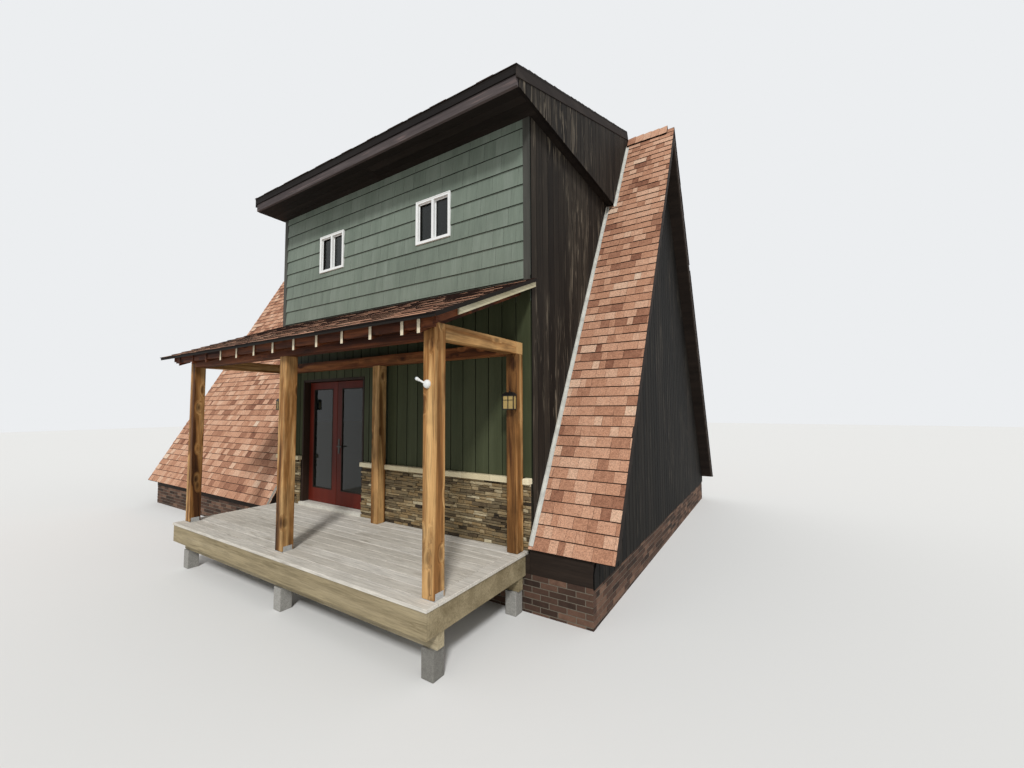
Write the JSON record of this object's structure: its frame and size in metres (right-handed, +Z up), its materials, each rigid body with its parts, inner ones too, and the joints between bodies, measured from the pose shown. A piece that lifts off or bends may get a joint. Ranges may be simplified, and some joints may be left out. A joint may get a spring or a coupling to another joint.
{
  "type": "a-frame cabin",
  "caption": "A-frame cabin with a two-storey shed dormer, glazed double door and a timber porch with a shingled roof.",
  "frame": {"origin": "bottom centre of the whole building's box, on the ground", "axes": "+X along the ridge, +Y from the porch to the back, +Z up"},
  "size_m": [11.87, 9.1674, 7.599],
  "materials": {
    "brick": "matte",
    "dark_timber": "matte",
    "floor_timber": "matte",
    "shingles": "matte",
    "dark_boards": "matte",
    "groove_siding": "satin",
    "lap_siding": "satin",
    "fascia_paint": "satin",
    "soffit_paint": "satin",
    "window_white": "satin",
    "clear_glass": "gloss",
    "frame_brown": "satin",
    "threshold_metal": "satin",
    "door_red": "satin",
    "lever_metal": "satin",
    "stone_facing": "matte",
    "cap_stone": "matte",
    "flashing_metal": "satin",
    "deck_wood": "matte",
    "rim_pine": "matte",
    "pier_concrete": "matte",
    "post_wood": "satin",
    "shoe_metal": "satin",
    "brown_stain": "satin",
    "pale_board": "matte",
    "lantern_black": "satin",
    "lamp_white": "gloss"
  },
  "bodies": {
    "root": {"foundation_walls": "brick", "sill_beams": "dark_timber", "ground_floor": "floor_timber", "upper_floor": "floor_timber", "front_slopes": "shingles", "back_slope": "shingles", "ridge_cap": "shingles", "gable_walls": "dark_boards", "front_walls_beside_door": "groove_siding", "front_wall_over_door": "groove_siding", "upper_front_wall": "lap_siding", "dormer_side_walls": "dark_boards", "dormer_roof": "shingles", "dormer_fascia": "fascia_paint", "dormer_soffit": "soffit_paint", "dormer_skirts": "dark_boards", "dormer_rake_boards": "fascia_paint", "corner_boards": "lap_siding", "window_frames": "window_white", "window_glass": "clear_glass", "door_frame": "frame_brown", "door_threshold": "threshold_metal", "frame_hinges": "lever_metal", "stone_wainscot": "stone_facing", "wainscot_cap": "cap_stone", "wall_flashing": "flashing_metal", "deck_boards": "deck_wood", "deck_frame": "rim_pine", "deck_girders": "rim_pine", "deck_piers": "pier_concrete", "porch_posts": "post_wood", "post_bases": "shoe_metal", "front_beam": "brown_stain", "side_beams": "post_wood", "wall_beam": "post_wood", "porch_rafters": "brown_stain", "porch_blocking": "brown_stain", "porch_roof": "shingles", "porch_rake_boards": "pale_board", "lanterns": "lantern_black", "flood_light": "lamp_white"},
    "left_leaf": {"left_door_leaf": "door_red", "left_door_glass": "clear_glass", "left_door_hinges": "lever_metal"},
    "right_leaf": {"right_door_leaf": "door_red", "right_door_glass": "clear_glass", "right_door_hinges": "lever_metal", "door_lever": "lever_metal"}
  },
  "joints": [
    {"name": "left_door_hinge", "type": "hinge", "parent": "root", "child": "left_leaf", "pos_m": [0.3935, -2.6987, 0.712], "axis": [0, 0, 1], "range_deg": [0, 100]},
    {"name": "right_door_hinge", "type": "hinge", "parent": "root", "child": "right_leaf", "pos_m": [1.9325, -2.6987, 0.712], "axis": [0, 0, -1], "range_deg": [0, 100]}
  ]
}
